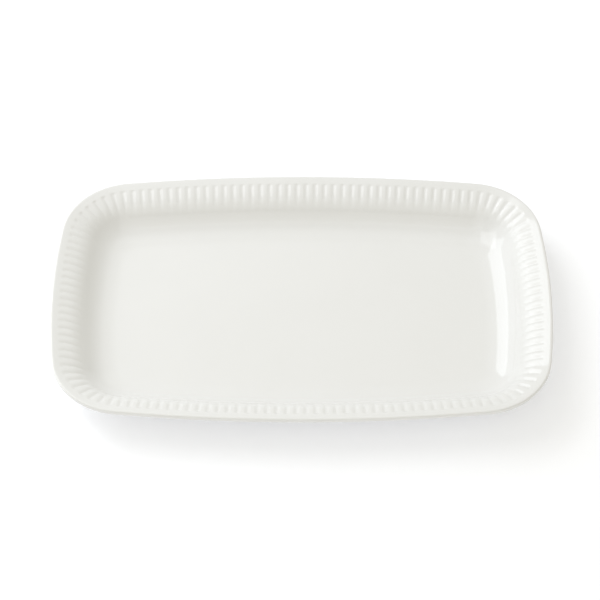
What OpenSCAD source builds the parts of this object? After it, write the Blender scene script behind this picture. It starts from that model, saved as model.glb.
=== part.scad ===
// China serving platter: an oblong dish with a reeded shoulder and a low foot ring.
// It is one press-moulded, fired body under two coats of glaze, which the bare face
// of the foot ring keeps apart. The origin is on the table, under the middle of the dish.

/* [Plan] */
// Overall length, along X
length = 356; // [340:2:380]
// Overall width, along Y
width = 229; // [215:1:245]
// Radius of the two long sides
long_side_r = 1200; // [1000:50:1500]
// Radius of the two short sides
short_side_r = 510; // [450:10:600]
// Radius of the four corners at the outer edge
corner_r = 51.5; // [50.5:0.5:56]
// Radius of the four corners of the well
well_corner_r = 13; // [8:1:20]

/* [Section] */
// Overall height
height = 31.5; // [31.5:0.5:36]
// Thickness of wall, lip and floor
wall = 4.6; // [4:0.1:4.8]
// Radius of the lip's upper edge
lip_edge_r = 1.2; // [0.8:0.1:2]
// Distance from the outer edge to the steepest part of the inner wall
steepest = 23; // [22:0.5:24]
// Distance from the outer edge to the flat floor of the well
well_edge = 47; // [46:0.5:48]
// Fall of the lip band, in mm per mm
lip_slope = 0.32; // [0.25:0.01:0.35]
// Fall of the reeded shoulder just before it turns down
shoulder_slope = 0.48; // [0.4:0.01:0.5]
// Fall of the inner wall at its steepest
wall_slope = 1.1; // [1:0.05:1.15]
// Fall of the cove where it eases off into the floor
toe_slope = 0.3; // [0.26:0.02:0.36]

/* [Reeds] */
// Reeds in each quarter of the rim
reeds_per_quarter = 36; // [30:1:40]
// Distance from the outer edge to the start of the reeds
reed_start = 5.5; // [5:0.1:6.5]
// Distance from the outer edge to the end of the reeds
reed_end = 20.5; // [20:0.5:22]
// Depth of the grooves between the reeds
groove_depth = 0.55; // [0.3:0.05:0.8]

/* [Foot ring] */
// Width of the bare face that the platter stands on
foot_w = 4; // [3:0.5:4.5]
// Taper of each side of the foot ring
foot_taper = 1.2; // [0.8:0.1:1.5]

/* [Glaze] */
// Thickness of the glaze
glaze = 0.25; // [0.15:0.05:0.3]
// Height above the table at which the glaze stops on the foot ring
glaze_line = 0.6; // [0.5:0.1:1]

/* [Hidden] */

lip_r = wall / 2;
// The shoulder keeps its own slope until here, then rolls over into the wall
shoulder_end = 14;
// The cove below the wall eases off from here to the floor
cove_toe = 36;
// The share of their depth that the grooves keep at their lower end
groove_fade = 0.3;
// The grooves run out over this distance past each end
run_out_top = 1.2;
run_out_bottom = 2.4;

// Fall of the inner surface, in mm per mm, at a distance d in from the outer edge
SLOPES = [
    [lip_edge_r, 0],
    [lip_edge_r + 1, lip_slope],
    [reed_start, lip_slope],
    [shoulder_end, shoulder_slope],
    [steepest, wall_slope],
    [cove_toe, toe_slope],
    [well_edge, 0],
];

// Radius of the outline's corners, which ease off inside the reeds
CORNERS = [
    [0, corner_r],
    [steepest, corner_r - steepest],
    [well_edge, well_corner_r],
    [well_edge + 4, well_corner_r - 4],
];

// The line along which the reeds are evenly spaced
pitch_line = 11.6;

// ---- Outline: eight arcs that meet smoothly, mirrored from one quarter ----

function long_centre() = [0, width / 2 - long_side_r];
function short_centre() = [length / 2 - short_side_r, 0];

// Centre of the corner arc of radius r, in the outline that lies d inside the edge
function corner_centre(d, r) =
    let (
        from_long = long_side_r - d - r,
        from_short = short_side_r - d - r,
        span = short_centre() - long_centre(),
        gap = norm(span),
        along = (from_long ^ 2 - from_short ^ 2 + gap ^ 2) / (2 * gap),
        across = sqrt(from_long ^ 2 - along ^ 2),
        dir = span / gap
    )
    long_centre() + along * dir + across * [dir.y, -dir.x];

function bearing(from, to) = atan2(to.y - from.y, to.x - from.x);

function on_arc(centre, r, angle) = centre + r * [cos(angle), sin(angle)];

function mix(a, b, share) = a + (b - a) * share;

// Arc lengths of a quarter along the pitch line: short side, corner, long side
function arc_lengths() =
    let (
        d = pitch_line,
        r = lookup(d, CORNERS),
        c = corner_centre(d, r),
        turn_short = bearing(short_centre(), c),
        turn_long = bearing(long_centre(), c)
    )
    [
        (short_side_r - d) * turn_short * PI / 180,
        r * (turn_long - turn_short) * PI / 180,
        (long_side_r - d) * (90 - turn_long) * PI / 180,
    ];

// One quarter, d inside the edge, in n steps from the X axis to the Y axis
function quarter(d, n) =
    let (
        r = lookup(d, CORNERS),
        c = corner_centre(d, r),
        turn_short = bearing(short_centre(), c),
        turn_long = bearing(long_centre(), c),
        arcs = arc_lengths(),
        total = arcs[0] + arcs[1] + arcs[2]
    )
    [
        for (k = [0:n])
            let (s = total * k / n)
            s < arcs[0]
                ? on_arc(short_centre(), short_side_r - d, turn_short * s / arcs[0])
                : s < arcs[0] + arcs[1]
                ? on_arc(c, r, mix(turn_short, turn_long, (s - arcs[0]) / arcs[1]))
                : on_arc(
                    long_centre(),
                    long_side_r - d,
                    mix(turn_long, 90, (s - arcs[0] - arcs[1]) / arcs[2])
                ),
    ];

// The whole outline, d inside the edge, with n points to a quarter
function outline(d, n) =
    let (q = quarter(d, n))
    concat(
        [for (k = [0:n - 1]) q[k]],
        [for (k = [n:-1:1]) [-q[k].x, q[k].y]],
        [for (k = [0:n - 1]) -q[k]],
        [for (k = [n:-1:1]) [q[k].x, -q[k].y]]
    );

// ---- Section: places [d, z, outward normal along d, along z, groove depth] ----

function sum(list, i = 0) = i < len(list) ? list[i] + sum(list, i + 1) : 0;

// How far the inner surface has fallen, d in from the edge
function drop(d) = sum([
    for (i = [0:len(SLOPES) - 2])
        let (from = SLOPES[i][0], to = min(d, SLOPES[i + 1][0]))
        to > from ? (SLOPES[i][1] + lookup(to, SLOPES)) / 2 * (to - from) : 0,
]);

floor_z = height - drop(well_edge);

// A place on the inner surface
function inside(d, groove = 0) =
    let (fall = atan(lookup(d, SLOPES)))
    [d, height - drop(d), sin(fall), cos(fall), groove];

// The place on the underside that backs the inner surface at d
function under(d) =
    let (p = inside(d))
    [p[0] - wall * p[2], p[1] - wall * p[3], -p[2], -p[3], 0];

// A place round the lip, from 90 degrees on top to -90 degrees below, with radius r
function lip(angle, r) = [
    r - r * cos(angle),
    height - r + r * sin(angle),
    -cos(angle),
    sin(angle),
    0,
];

foot_top = under(well_edge - 4);
foot_out = foot_top[0] + foot_taper;
foot_in = foot_out + foot_w;
foot_lean = atan(foot_taper / foot_top[1]);

// A place on a side of the foot ring, at height z; side is -1 outside, 1 inside
function foot_side(z, side) = [
    side < 0 ? foot_out - foot_taper * z / foot_top[1] : foot_in + foot_taper * z / foot_top[1],
    z,
    side * cos(foot_lean),
    -sin(foot_lean),
    0,
];

// From the edge of the well's floor, over the lip, to the glaze line outside the foot
FACE = [
    for (i = [0:2]) inside(mix(well_edge, reed_end + run_out_bottom, i / 3)),
    inside(reed_end + run_out_bottom),
    inside(reed_end, groove_depth * groove_fade),
    inside(shoulder_end, groove_depth),
    inside(reed_start + run_out_top, groove_depth),
    inside(reed_start),
    for (angle = [90, 45, 0]) lip(angle, lip_edge_r),
    for (angle = [-15, -50, -90]) lip(angle, lip_r),
    for (d = [shoulder_end, steepest, (steepest + well_edge) / 2]) under(d),
    [foot_top[0], foot_top[1], -sin(45), -cos(45), 0],
    foot_side(glaze_line, -1),
];

// From the glaze line inside the foot to the underside of the floor
BACK = [
    foot_side(glaze_line, 1),
    [foot_in + foot_taper, floor_z - wall, sin(45), -cos(45), 0],
];

// ---- Rings and lofts ----

// The ring of points at a place, depth below the finished surface
function ring(p, depth) =
    let (
        n = reeds_per_quarter,
        ridges = outline(p[0] - depth * p[2], p[4] > 0 ? 2 * n : n),
        sunk = depth + p[4],
        grooves = p[4] > 0 ? outline(p[0] - sunk * p[2], 2 * n) : []
    )
    [
        for (k = [0:len(ridges) - 1])
            p[4] > 0 && k % 2 == 1
                ? [grooves[k].x, grooves[k].y, p[1] - sunk * p[3]]
                : [ridges[k].x, ridges[k].y, p[1] - depth * p[3]],
    ];

// A ring at height z on the outline d inside the edge
function level_ring(d, z) = [for (p = outline(d, reeds_per_quarter)) [p.x, p.y, z]];

// Triangles between two rings of n points, which start at points a and b
function even_band(a, b, n, swap) = [
    for (k = [0:n - 1])
        let (m = (k + 1) % n)
        each swap
            ? [[a + k, a + m, b + k], [a + m, b + m, b + k]]
            : [[a + k, b + m, b + k], [a + k, a + m, b + m]],
];

// Triangles between a ring of n points and a ring of twice as many
function coarse_to_fine(a, b, n) = [
    for (k = [0:n - 1])
        let (m = (k + 1) % n)
        each [
            [a + k, b + 2 * k + 1, b + 2 * k],
            [a + k, a + m, b + 2 * k + 1],
            [a + m, b + 2 * m, b + 2 * k + 1],
        ],
];

function flipped(faces) = [for (f = faces) [f[0], f[2], f[1]]];

function band(a, size_a, b, size_b, swap) =
    size_a == size_b
        ? even_band(a, b, size_a, swap)
        : size_a < size_b ? coarse_to_fine(a, b, size_a) : flipped(coarse_to_fine(b, a, size_b));

// A closed solid through the rings, with a flat face on the first and the last.
// Between rings swap_from and swap_to the diagonals swap, so that a surface which
// two solids share is cut into the same triangles in both.
module loft(rings, swap_from, swap_to) {
    starts = [for (i = 0, at = 0; i < len(rings); at = at + len(rings[i]), i = i + 1) at];
    sizes = [for (r = rings) len(r)];
    last = len(rings) - 1;
    bands = [
        for (i = [0:last - 1])
            let (swap = i >= swap_from && i < swap_to)
            each band(starts[i], sizes[i], starts[i + 1], sizes[i + 1], swap),
    ];
    first_face = [for (k = [sizes[0] - 1:-1:0]) k];
    last_face = [for (k = [0:sizes[last] - 1]) starts[last] + k];
    polyhedron(
        points = [for (r = rings) each r],
        faces = concat([first_face], bands, [last_face])
    );
}

function reversed(list) = [for (i = [len(list) - 1:-1:0]) list[i]];

// ---- The pieces ----

// The fired clay body: well, wall, reeded shoulder, lip and foot ring in one moulding
module china_body() {
    over = [for (p = FACE) ring(p, glaze)];
    foot_face = [level_ring(foot_out + glaze, 0), level_ring(foot_in - glaze, 0)];
    beneath = [for (p = BACK) ring(p, glaze)];
    color("#ebe5d6") loft(concat(over, foot_face, beneath), 0, 0);
}

// The glaze over everything from the well's floor to the outside of the foot ring
module glaze_coat() {
    finished = [for (p = FACE) ring(p, 0)];
    on_body = [for (p = reversed(FACE)) ring(p, glaze)];
    color("#f4f3ee") loft(concat(finished, on_body), len(FACE), 2 * len(FACE));
}

// The glaze on the underside, inside the foot ring
module underside_glaze() {
    on_body = [for (p = reversed(BACK)) ring(p, glaze)];
    finished = [for (p = BACK) ring(p, 0)];
    color("#f1f0ea") loft(concat(on_body, finished), 0, len(BACK));
}

china_body();
glaze_coat();
underside_glaze();
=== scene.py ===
"""China serving platter: reeded, glazed oblong dish with a bare foot ring, on a white table."""
from math import cos, pi, radians, sin

import bmesh
import bpy
import numpy as np
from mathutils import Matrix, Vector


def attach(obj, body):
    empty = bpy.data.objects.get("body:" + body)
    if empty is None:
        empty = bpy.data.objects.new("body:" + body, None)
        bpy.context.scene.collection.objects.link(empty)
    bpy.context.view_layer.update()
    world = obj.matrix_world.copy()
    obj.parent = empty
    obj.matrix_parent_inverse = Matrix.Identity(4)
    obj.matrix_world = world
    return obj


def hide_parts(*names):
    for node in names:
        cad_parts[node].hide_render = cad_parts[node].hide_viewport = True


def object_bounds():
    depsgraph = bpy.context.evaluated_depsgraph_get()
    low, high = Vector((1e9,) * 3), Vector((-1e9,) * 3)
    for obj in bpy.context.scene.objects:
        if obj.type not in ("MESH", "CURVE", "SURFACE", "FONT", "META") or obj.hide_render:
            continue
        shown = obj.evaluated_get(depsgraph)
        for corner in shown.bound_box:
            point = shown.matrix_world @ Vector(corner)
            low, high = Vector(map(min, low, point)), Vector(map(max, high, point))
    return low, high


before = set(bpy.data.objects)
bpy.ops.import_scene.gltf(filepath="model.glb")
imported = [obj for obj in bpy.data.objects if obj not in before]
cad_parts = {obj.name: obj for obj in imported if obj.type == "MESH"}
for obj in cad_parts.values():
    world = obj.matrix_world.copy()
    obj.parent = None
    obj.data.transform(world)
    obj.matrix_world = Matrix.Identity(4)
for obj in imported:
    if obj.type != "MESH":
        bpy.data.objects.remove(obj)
CAD_LOW, CAD_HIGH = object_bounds()

MM = 0.001

# ---- Sizes in millimetres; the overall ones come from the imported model's box ----
HALF_LENGTH = CAD_HIGH.x / MM
HALF_WIDTH = CAD_HIGH.y / MM
HEIGHT = CAD_HIGH.z / MM

# Radii in plan: the long and short sides, the corners at the edge and at the well
LONG_SIDE_R = 1200.0
SHORT_SIDE_R = 510.0
CORNER_R = 51.5
WELL_CORNER_R = 13.0

# The section: thickness, the lip's upper and lower radii, then distances in from the edge
WALL = 4.6
EDGE_R = 1.2
LIP_R = WALL / 2
REED_START = 5.8
SHOULDER_END = 14.0
REED_END = 20.5
STEEPEST = 23.0
COVE_TOE = 36.0
WELL_EDGE = 47.0

# Falls of the inner surface, in mm per mm
LIP_SLOPE = 0.32
SHOULDER_SLOPE = 0.48
WALL_SLOPE = 1.1
TOE_SLOPE = 0.3

# The foot ring: width of its face, taper of each side, fillet where it meets the dish, how far
# the outer fillet's centre lies below the foot's top, softened edge
FOOT_W = 4.0
FOOT_TAPER = 1.2
FOOT_FILLET = 1.0
FOOT_FILLET_DROP = 0.9
FOOT_EDGE = 0.25

# Thickness of the glaze, and the height above the table at which it stops
GLAZE = 0.25
GLAZE_LINE = 0.6

# The reeds: evenly spaced along the pitch line, with grooves over this share of the pitch
REEDS_PER_QUARTER = 36
REEDS = 4 * REEDS_PER_QUARTER
PITCH_LINE = 11.6
GROOVE_DEPTH = 0.55
GROOVE_SHARE = 0.7

# A groove deepens from nothing over the run-in. Towards the ends of the dish, past the share
# ENDS_FROM of the half length, it starts further out and deepens more slowly.
RUN_IN = 1.8
END_REACH = 0.9
END_RUN_IN = 1.8
ENDS_FROM = 0.86
ENDS_OVER = 0.1

# The share of their depth that the grooves keep, against distance in from the edge
FADE_AT = [12.0, 14.0, 16.0, 18.5, 20.5, 22.0, 23.5]
FADE = [1.0, 0.96, 0.8, 0.48, 0.22, 0.08, 0.0]

# Points to one reed on a surface that shows, and on one that is covered or plain
FINE = 8
COARSE = 2

# Where rings are placed: distances in across the lip, angles round it, heights on the foot
LIP_BAND_AT = (4.2, 3.2, 2.2, 1.9, 1.6)
LIP_ANGLES = (90, 75, 60, 45, 30, 15, 5, -5, -20, -35, -50, -65, -80, -90)
FOOT_HEIGHTS = (GLAZE_LINE, 1.5, 2.4)

# Rings that fill a flat, as shares of its size
DISC_SHARES = (0.97, 0.9, 0.75, 0.5, 0.25)

# Angle above which an edge of a mesh shades as sharp, in degrees
SHARP_ANGLE = 35.0

# Fall of the inner surface, in mm per mm, against distance in from the outer edge
SLOPE_AT = [EDGE_R, EDGE_R + 1, REED_START, SHOULDER_END, STEEPEST, COVE_TOE, WELL_EDGE]
SLOPE = [0.0, LIP_SLOPE, LIP_SLOPE, SHOULDER_SLOPE, WALL_SLOPE, TOE_SLOPE, 0.0]

# Radius of the outline's corners against distance in from the outer edge
CORNER_AT = [0.0, STEEPEST, WELL_EDGE, WELL_EDGE + 4]
CORNER = [CORNER_R, CORNER_R - STEEPEST, WELL_CORNER_R, WELL_CORNER_R - 4]

# ---- Outline: eight arcs that meet smoothly, mirrored from one quarter ----
LONG_CENTRE = np.array([0.0, HALF_WIDTH - LONG_SIDE_R])
SHORT_CENTRE = np.array([HALF_LENGTH - SHORT_SIDE_R, 0.0])


def corner_arc(d):
    """The corner arc of the outline d inside the edge: centre, radius, angles at its ends."""
    r = float(np.interp(d, CORNER_AT, CORNER))
    from_long = LONG_SIDE_R - d - r
    from_short = SHORT_SIDE_R - d - r
    span = SHORT_CENTRE - LONG_CENTRE
    gap = np.hypot(*span)
    along = (from_long**2 - from_short**2 + gap**2) / (2 * gap)
    across = np.sqrt(from_long**2 - along**2)
    way = span / gap
    centre = LONG_CENTRE + along * way + across * np.array([way[1], -way[0]])
    turn_short = np.arctan2(*(centre - SHORT_CENTRE)[::-1])
    turn_long = np.arctan2(*(centre - LONG_CENTRE)[::-1])
    return centre, r, turn_short, turn_long


def arc_lengths():
    """Arc lengths of a quarter along the pitch line: short side, corner, long side."""
    centre, r, turn_short, turn_long = corner_arc(PITCH_LINE)
    return np.array([
        (SHORT_SIDE_R - PITCH_LINE) * turn_short,
        r * (turn_long - turn_short),
        (LONG_SIDE_R - PITCH_LINE) * (pi / 2 - turn_long),
    ])


ARCS = arc_lengths()


def quarter(d, n):
    """A quarter of the outline d inside the edge, in n steps from the X axis to the Y axis."""
    centre, r, turn_short, turn_long = corner_arc(d)
    s = ARCS.sum() * np.arange(n + 1) / n
    on_short = s < ARCS[0]
    on_long = s >= ARCS[0] + ARCS[1]
    share = np.where(
        on_short, s / ARCS[0],
        np.where(on_long, (s - ARCS[0] - ARCS[1]) / ARCS[2], (s - ARCS[0]) / ARCS[1]),
    )
    start = np.where(on_short, 0.0, np.where(on_long, turn_long, turn_short))
    end = np.where(on_short, turn_short, np.where(on_long, pi / 2, turn_long))
    angle = start + (end - start) * share
    radius = np.where(on_short, SHORT_SIDE_R - d, np.where(on_long, LONG_SIDE_R - d, r))
    on_long_side = np.where(on_long[:, None], LONG_CENTRE, centre)
    at = np.where(on_short[:, None], SHORT_CENTRE, on_long_side)
    return at + radius[:, None] * np.c_[np.cos(angle), np.sin(angle)]


def outline(d, per_reed):
    """The whole outline d inside the edge, with per_reed points to a reed."""
    n = REEDS_PER_QUARTER * per_reed
    q = quarter(d, n)
    back = q[n:0:-1]
    return np.vstack([q[:n], back * [-1, 1], -q[:n], back * [1, -1]])


# ---- Section: places (d, z, outward normal along d, along z, share of the reeds' depth) ----
def slope(d):
    """The fall of the inner surface, d in from the edge."""
    return float(np.interp(d, SLOPE_AT, SLOPE))


def drop(d):
    """How far the inner surface has fallen, d in from the edge."""
    total = 0.0
    for start, stop in zip(SLOPE_AT[:-1], SLOPE_AT[1:]):
        to = min(d, stop)
        if to > start:
            total += (slope(start) + slope(to)) / 2 * (to - start)
    return total


def smooth(x):
    """An eased step from 0 to 1."""
    x = np.clip(x, 0.0, 1.0)
    return x * x * (3 - 2 * x)


def inside(d):
    """The place on the inner surface, d in from the edge."""
    fall = np.arctan(slope(d))
    share = float(np.interp(d, FADE_AT, FADE)) if d > REED_START - END_REACH else 0.0
    return d, HEIGHT - drop(d), np.sin(fall), np.cos(fall), share


def under(d):
    """The place on the underside that backs the inner surface at d."""
    p = inside(d)
    return p[0] - WALL * p[2], p[1] - WALL * p[3], -p[2], -p[3], 0.0


def lip(angle):
    """A place round the lip, from 90 degrees on top to -90 below; its top edge is tighter."""
    a = radians(angle)
    r = EDGE_R if angle > 0 else LIP_R
    return r - r * cos(a), HEIGHT - r + r * sin(a), -cos(a), sin(a), 0.0


FLOOR_Z = HEIGHT - drop(WELL_EDGE)
FOOT_TOP_D, FOOT_TOP_Z = under(WELL_EDGE - 4)[:2]
FOOT_OUT = FOOT_TOP_D + FOOT_TAPER
FOOT_IN = FOOT_OUT + FOOT_W
FOOT_LEAN = np.arctan(FOOT_TAPER / FOOT_TOP_Z)


def foot_side(z, side):
    """A place on a side of the foot ring, at height z; side is -1 outside, 1 inside."""
    taper = FOOT_TAPER * z / FOOT_TOP_Z
    d = FOOT_OUT - taper if side < 0 else FOOT_IN + taper
    return d, z, side * cos(FOOT_LEAN), -sin(FOOT_LEAN), 0.0


def fillet(centre_d, centre_z, from_angle, to_angle, steps):
    """Places round a concave fillet at the foot ring, normals facing its centre."""
    r = FOOT_FILLET
    places = []
    for a in np.radians(np.linspace(from_angle, to_angle, steps)):
        places.append((centre_d + r * cos(a), centre_z + r * sin(a), -cos(a), -sin(a), 0.0))
    return places


def spread(start, stop, steps):
    """Evenly spaced distances, both ends included."""
    return [float(x) for x in np.linspace(start, stop, steps)]


def face_places():
    """From the edge of the well, over the lip, to the glaze line outside the foot."""
    wall = [inside(d) for d in spread(WELL_EDGE, REED_END + 3, 20)]
    reeds = [inside(d) for d in spread(REED_END + 2.4, REED_START + 1.6, 20)]
    reed_ends = [inside(d) for d in spread(REED_START + 1.2, REED_START - END_REACH, 7)]
    lip_band = [inside(d) for d in LIP_BAND_AT]
    rim = [lip(a) for a in LIP_ANGLES]
    back = [under(d) for d in spread(REED_START, WELL_EDGE - 5, 16)]
    corner = fillet(FOOT_TOP_D - FOOT_FILLET, FOOT_TOP_Z - FOOT_FILLET_DROP, 68, 16, 4)
    foot = [foot_side(z, -1) for z in FOOT_HEIGHTS[::-1]]
    return wall + reeds + reed_ends + lip_band + rim + back + corner + foot


def back_places():
    """From the glaze line inside the foot to the underside of the floor."""
    foot = [foot_side(z, 1) for z in FOOT_HEIGHTS]
    corner = fillet(FOOT_IN + FOOT_TAPER + FOOT_FILLET, FLOOR_Z - WALL - FOOT_FILLET, 164, 90, 5)
    return foot + corner


# ---- Rings and meshes ----
def groove(per_reed):
    """A groove's depth, as a share, at per_reed points from one reed's crest to the next."""
    x = np.abs(np.arange(per_reed) / per_reed - 0.5) / (GROOVE_SHARE / 2)
    return np.where(x < 1, np.cos(np.minimum(x, 1) * pi / 2) ** 2, 0.0)


def ring(place, depth, per_reed):
    """The ring of points at a place, depth below the finished surface, in millimetres."""
    d, z, out_d, out_z, share = place
    crest = outline(d - depth * out_d, per_reed)
    if share == 0:
        return np.c_[crest, np.full(len(crest), z - depth * out_z)]
    sunk = GROOVE_DEPTH * share
    trough = outline(d - (depth + sunk) * out_d, per_reed)
    at_ends = smooth((np.abs(crest[:, 0]) / HALF_LENGTH - ENDS_FROM) / ENDS_OVER)
    run_in = smooth((d - REED_START + END_REACH * at_ends) / (RUN_IN + END_RUN_IN * at_ends))
    mix = np.tile(groove(per_reed), REEDS) * run_in
    plan = crest + (trough - crest) * mix[:, None]
    return np.c_[plan, z - (depth + sunk * mix) * out_z]


def band(a, na, b, nb):
    """Faces between a ring of na points from index a and a ring of nb points from index b."""
    if na == nb:
        return [(a + k, b + k, b + (k + 1) % na, a + (k + 1) % na) for k in range(na)]
    many, few, first_many, first_few = (na, nb, a, b) if na > nb else (nb, na, b, a)
    ratio = many // few
    half = ratio // 2
    faces = []
    for k in range(few):
        near, far = first_few + k, first_few + (k + 1) % few
        for j in range(ratio):
            i = k * ratio + j
            edge = (first_many + i, first_many + (i + 1) % many)
            faces.append((near if j < half else far, *edge))
        middle = first_many + k * ratio + half
        faces.append((near, middle, far))
    return faces


def disc(points, start, count, z):
    """Rings and a centre point that fill the flat inside of a ring of count points."""
    ring_points = points[start:start + count]
    step = count // REEDS
    base = ring_points[::step]
    added, faces = [], []
    previous, previous_count = start, count
    at = len(points)
    for share in DISC_SHARES:
        added.append(np.c_[base[:, :2] * share, np.full(len(base), z)])
        faces += band(previous, previous_count, at, len(base))
        previous, previous_count = at, len(base)
        at += len(base)
    added.append(np.array([[0.0, 0.0, z]]))
    for k in range(previous_count):
        faces.append((previous + k, previous + (k + 1) % previous_count, at))
    return np.vstack(added), faces


def mesh_from_rings(name, rings):
    """A closed mesh through the rings, in metres, with its flat first and last rings filled in."""
    points = np.vstack(rings)
    sizes = [len(r) for r in rings]
    starts = np.cumsum([0] + sizes[:-1]).tolist()
    faces = []
    for i in range(len(rings) - 1):
        faces += band(starts[i], sizes[i], starts[i + 1], sizes[i + 1])
    for i in (0, len(rings) - 1):
        added, filled = disc(points, starts[i], sizes[i], float(points[starts[i], 2]))
        points = np.vstack([points, added])
        faces += filled
    mesh = bpy.data.meshes.new(name)
    mesh.from_pydata((points * MM).tolist(), [], faces)
    bm = bmesh.new()
    bm.from_mesh(mesh)
    bmesh.ops.recalc_face_normals(bm, faces=bm.faces)
    bm.to_mesh(mesh)
    bm.free()
    mesh.polygons.foreach_set("use_smooth", [True] * len(mesh.polygons))
    mesh.set_sharp_from_angle(angle=radians(SHARP_ANGLE))
    piece = bpy.data.objects.new(name, mesh)
    bpy.context.scene.collection.objects.link(piece)
    return piece


# ---- Materials ----
# Colours are linear, and each pair is the two tones of one surface, as its function takes them
GLAZE_TONES = ((0.868, 0.868, 0.862), (0.861, 0.861, 0.854))
BACK_TONES = ((0.82, 0.815, 0.79), (0.80, 0.793, 0.765))
CLAY_TONES = ((0.52, 0.47, 0.38), (0.70, 0.66, 0.57))
TABLE_TONES = ((0.933, 0.936, 0.95), (0.938, 0.941, 0.955))
TABLE_GLOW = (0.9, 0.92, 1, 1)
TABLE_GLOW_STRENGTH = 0.207

GLAZE_ROUGHNESS = 0.05
BACK_ROUGHNESS = 0.12
CLAY_ROUGHNESS = 0.85
TABLE_ROUGHNESS = 0.9
GLAZE_IOR = 1.5

# Depth of the bump, in metres
RIPPLE_DEPTH = 0.00004
GRAIN_DEPTH = 0.000002
CLAY_DEPTH = 0.00006


def new_material(name):
    """A material, its node tree and its shader."""
    material = bpy.data.materials.new(name)
    material.use_nodes = True
    tree = material.node_tree
    return material, tree, tree.nodes["Principled BSDF"]


def noise(tree, scale, detail):
    """A noise texture in object space, with the given number of lumps to the metre."""
    coords = tree.nodes.new("ShaderNodeTexCoord")
    node = tree.nodes.new("ShaderNodeTexNoise")
    node.inputs["Scale"].default_value = scale
    node.inputs["Detail"].default_value = detail
    tree.links.new(coords.outputs["Object"], node.inputs["Vector"])
    return node


def ramp(tree, source, low, high, low_at=0.35, high_at=0.65):
    """Two colours or greys mixed by a noise."""
    node = tree.nodes.new("ShaderNodeValToRGB")
    node.color_ramp.elements[0].position = low_at
    node.color_ramp.elements[1].position = high_at
    node.color_ramp.elements[0].color = (*low, 1)
    node.color_ramp.elements[1].color = (*high, 1)
    tree.links.new(source.outputs[0], node.inputs["Fac"])
    return node


def bump(tree, bsdf, layers):
    """Bump from several (height source, distance in metres) layers, one on top of the other."""
    previous = None
    for source, distance in layers:
        node = tree.nodes.new("ShaderNodeBump")
        node.inputs["Strength"].default_value = 1.0
        node.inputs["Distance"].default_value = distance
        tree.links.new(source.outputs[0], node.inputs["Height"])
        if previous:
            tree.links.new(previous.outputs["Normal"], node.inputs["Normal"])
        previous = node
    tree.links.new(previous.outputs["Normal"], bsdf.inputs["Normal"])


def glaze_material(name, light, dark, roughness):
    """Opaque white glaze: faintly cloudy, with the slight ripple of a fired glass."""
    material, tree, bsdf = new_material(name)
    cloud = noise(tree, 22.0, 4.0)
    tint = ramp(tree, cloud, dark, light)
    tree.links.new(tint.outputs["Color"], bsdf.inputs["Base Color"])
    smear = noise(tree, 45.0, 2.0)
    gloss = ramp(tree, smear, (0.8 * roughness,) * 3, (1.25 * roughness,) * 3)
    tree.links.new(gloss.outputs["Color"], bsdf.inputs["Roughness"])
    bsdf.inputs["IOR"].default_value = GLAZE_IOR
    ripple = noise(tree, 28.0, 1.0)
    grain = noise(tree, 420.0, 2.0)
    bump(tree, bsdf, [(ripple, RIPPLE_DEPTH), (grain, GRAIN_DEPTH)])
    return material


def biscuit_material():
    """Bare fired clay: matt, finely speckled and darker than the glaze."""
    material, tree, bsdf = new_material("bare_clay")
    speckle = noise(tree, 2600.0, 2.0)
    tint = ramp(tree, speckle, *CLAY_TONES, 0.3, 0.55)
    tree.links.new(tint.outputs["Color"], bsdf.inputs["Base Color"])
    bsdf.inputs["Roughness"].default_value = CLAY_ROUGHNESS
    grain = noise(tree, 1800.0, 3.0)
    bump(tree, bsdf, [(grain, CLAY_DEPTH)])
    return material


def table_material():
    """Plain white table top, with a little light of its own so that it stays white."""
    material, tree, bsdf = new_material("table")
    mottle = noise(tree, 3.0, 2.0)
    tint = ramp(tree, mottle, *TABLE_TONES)
    tree.links.new(tint.outputs["Color"], bsdf.inputs["Base Color"])
    bsdf.inputs["Roughness"].default_value = TABLE_ROUGHNESS
    bsdf.inputs["Specular IOR Level"].default_value = 0.0
    bsdf.inputs["Emission Color"].default_value = TABLE_GLOW
    bsdf.inputs["Emission Strength"].default_value = TABLE_GLOW_STRENGTH
    return material


# ---- The pieces ----
def glaze_coat():
    """The glaze over everything from the well to the outside of the foot ring."""
    places = face_places()
    finished = [ring(p, 0.0, FINE) for p in places]
    on_body = [ring(p, GLAZE, COARSE) for p in places[::-1]]
    piece = mesh_from_rings("white_glaze_coat", finished + on_body)
    piece.data.materials.append(glaze_material("white_glaze", *GLAZE_TONES, GLAZE_ROUGHNESS))
    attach(piece, "root")
    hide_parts("glaze_coat")


def underside_glaze():
    """The glaze inside the foot ring."""
    places = back_places()
    on_body = [ring(p, GLAZE, COARSE) for p in places[::-1]]
    finished = [ring(p, 0.0, COARSE) for p in places]
    piece = mesh_from_rings("back_glaze_coat", on_body + finished)
    piece.data.materials.append(glaze_material("back_glaze", *BACK_TONES, BACK_ROUGHNESS))
    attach(piece, "root")
    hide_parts("underside_glaze")


def china_body():
    """The fired clay under the glaze, bare on the face of the foot ring."""
    over = [ring(p, GLAZE, COARSE) for p in face_places()]
    beneath = [ring(p, GLAZE, COARSE) for p in back_places()]
    foot = []
    for d, z in (
        (FOOT_OUT + GLAZE, FOOT_EDGE),
        (FOOT_OUT + GLAZE + FOOT_EDGE, 0.0),
        (FOOT_IN - GLAZE - FOOT_EDGE, 0.0),
        (FOOT_IN - GLAZE, FOOT_EDGE),
    ):
        foot.append(ring((d, z, 0.0, 0.0, 0.0), 0.0, COARSE))
    piece = mesh_from_rings("clay_body", over + foot + beneath)
    piece.data.materials.append(biscuit_material())
    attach(piece, "root")
    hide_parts("china_body")


# ---- Stage, light and camera ----
# The camera: degrees above the table, metres, millimetres, millimetres, shares of the frame
ELEVATION = 49.18
CAMERA_DISTANCE = 1.797
LENS = 151.37
SENSOR = 36
SHIFT = (-0.00245, -0.00828)

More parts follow.
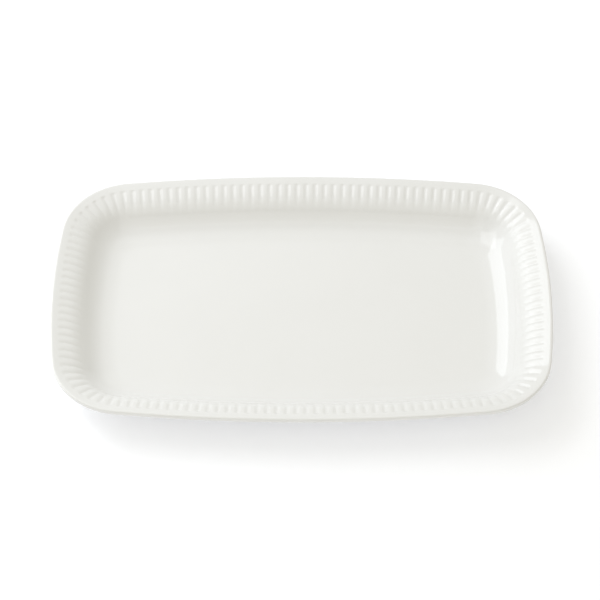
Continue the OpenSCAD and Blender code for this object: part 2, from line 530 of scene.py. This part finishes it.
TABLE_SIZE = 8.0
ROOM_COLOUR = (1.0, 0.965, 0.83, 1)
ROOM_STRENGTH = 0.525

# Name, azimuth and elevation in degrees, distance, width and height in metres, watts, colour
LIGHTS = [
    ("window", 150, 33, 1.2, 1.44, 1.12, 3.3, (0.86, 0.91, 1.0)),
    ("rear_key", 135, 38, 1.5, 1.04, 0.82, 5.0, (0.87, 0.92, 1.0)),
    ("key", 158, 58, 1.5, 0.95, 0.85, 3.7, (0.95, 0.96, 1.0)),
    ("overhead", 180, 89.9, 2.0, 1.9, 1.9, 5.4, (0.83, 0.88, 1.0)),
    ("front_fill", 270, 57, 2.0, 2.0, 1.0, 3.9, (1.0, 1.0, 1.0)),
]


def towards(azimuth, elevation):
    """The direction from the middle of the table; azimuth 0 is +X, 90 is +Y."""
    a, e = radians(azimuth), radians(elevation)
    return np.array([cos(e) * cos(a), cos(e) * sin(a), sin(e)])


def table():
    """The table top, which is stage and not part of the dish."""
    bpy.ops.mesh.primitive_plane_add(size=TABLE_SIZE, location=(0, 0, 0))
    top = bpy.context.active_object
    top.name = "table_top"
    top.data.materials.append(table_material())


def softbox(name, azimuth, elevation, distance, width, height, power, colour):
    """A rectangular light that faces the middle of the table."""
    data = bpy.data.lights.new(name, "AREA")
    data.shape = "RECTANGLE"
    data.size = width
    data.size_y = height
    data.energy = power
    data.color = colour
    lamp = bpy.data.objects.new(name, data)
    bpy.context.scene.collection.objects.link(lamp)
    lamp.location = towards(azimuth, elevation) * distance
    lamp.rotation_euler = (radians(90 - elevation), 0, radians(azimuth + 90))


def studio():
    """A bright room with a big window behind on the left, keys beside it and soft fills."""
    world = bpy.data.worlds.new("studio")
    bpy.context.scene.world = world
    world.use_nodes = True
    background = world.node_tree.nodes["Background"]
    background.inputs["Color"].default_value = ROOM_COLOUR
    background.inputs["Strength"].default_value = ROOM_STRENGTH
    for light in LIGHTS:
        softbox(*light)
    bpy.context.scene.view_settings.view_transform = "Standard"


def camera():
    """A long lens in front of the dish, aimed near the middle of its rim."""
    data = bpy.data.cameras.new("camera")
    data.lens = LENS
    data.sensor_width = SENSOR
    data.shift_x, data.shift_y = SHIFT
    cam = bpy.data.objects.new("camera", data)
    bpy.context.scene.collection.objects.link(cam)
    rim_z = (HEIGHT - LIP_R) * MM
    cam.location = towards(-90, ELEVATION) * CAMERA_DISTANCE + np.array([0, 0, rim_z])
    cam.rotation_euler = (radians(90 - ELEVATION), 0, 0)
    bpy.context.scene.camera = cam


camera()
glaze_coat()
underside_glaze()
china_body()
table()
studio()
